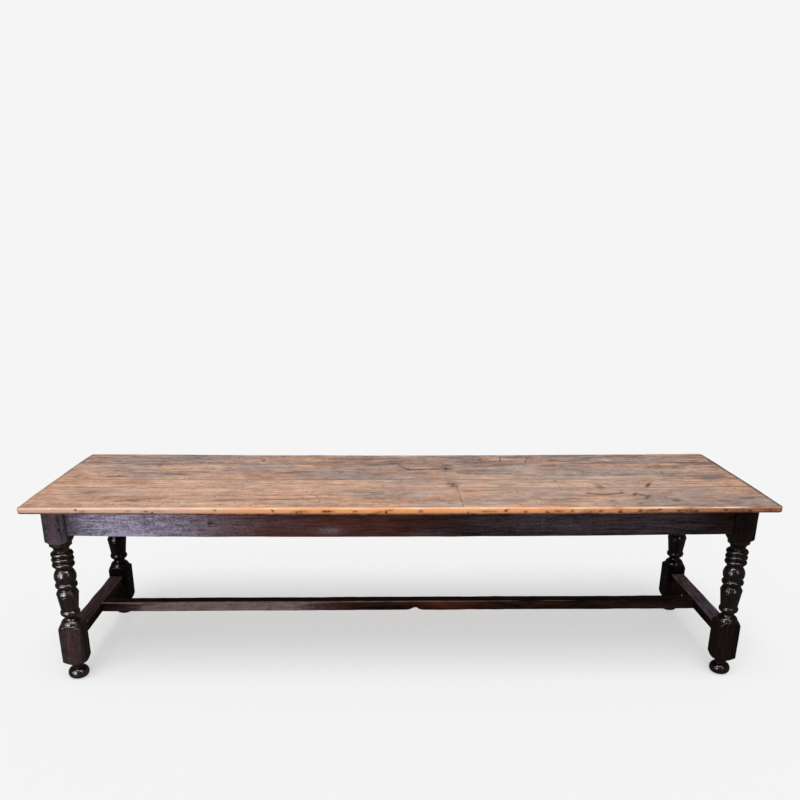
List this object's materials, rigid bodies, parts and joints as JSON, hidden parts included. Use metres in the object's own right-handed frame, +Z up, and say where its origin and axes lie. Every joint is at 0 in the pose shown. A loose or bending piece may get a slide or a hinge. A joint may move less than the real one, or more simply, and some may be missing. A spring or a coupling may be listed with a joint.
{
  "type": "refectory table",
  "caption": "Long plank-topped refectory table on turned legs with bun feet, plain aprons and a low H-shaped stretcher, joined with pegged tenons.",
  "frame": {"origin": "on the floor under the middle of the table", "axes": "+X along the table to its right end, +Y from the front edge to the back edge, +Z up"},
  "size_m": [2.86, 0.825, 0.754],
  "materials": {
    "top_wood": "worn wax over weathered planks",
    "frame_wood": "old dark stain, polished",
    "peg_wood": "dark end grain"
  },
  "bodies": {
    "root": {"leg_front_left": "frame_wood", "leg_front_right": "frame_wood", "leg_back_left": "frame_wood", "leg_back_right": "frame_wood", "apron_front": "frame_wood", "apron_back": "frame_wood", "apron_left": "frame_wood", "apron_right": "frame_wood", "end_stretcher_left": "frame_wood", "end_stretcher_right": "frame_wood", "centre_stretcher": "frame_wood", "bearer_left": "frame_wood", "bearer_middle": "frame_wood", "bearer_right": "frame_wood", "top_board_front": "top_wood", "top_board_inner_front": "top_wood", "top_board_inner_back": "top_wood", "top_board_back": "top_wood", "apron_pegs": "peg_wood", "end_stretcher_pegs": "peg_wood", "centre_stretcher_pegs": "peg_wood", "top_pegs": "peg_wood"}
  },
  "joints": []
}
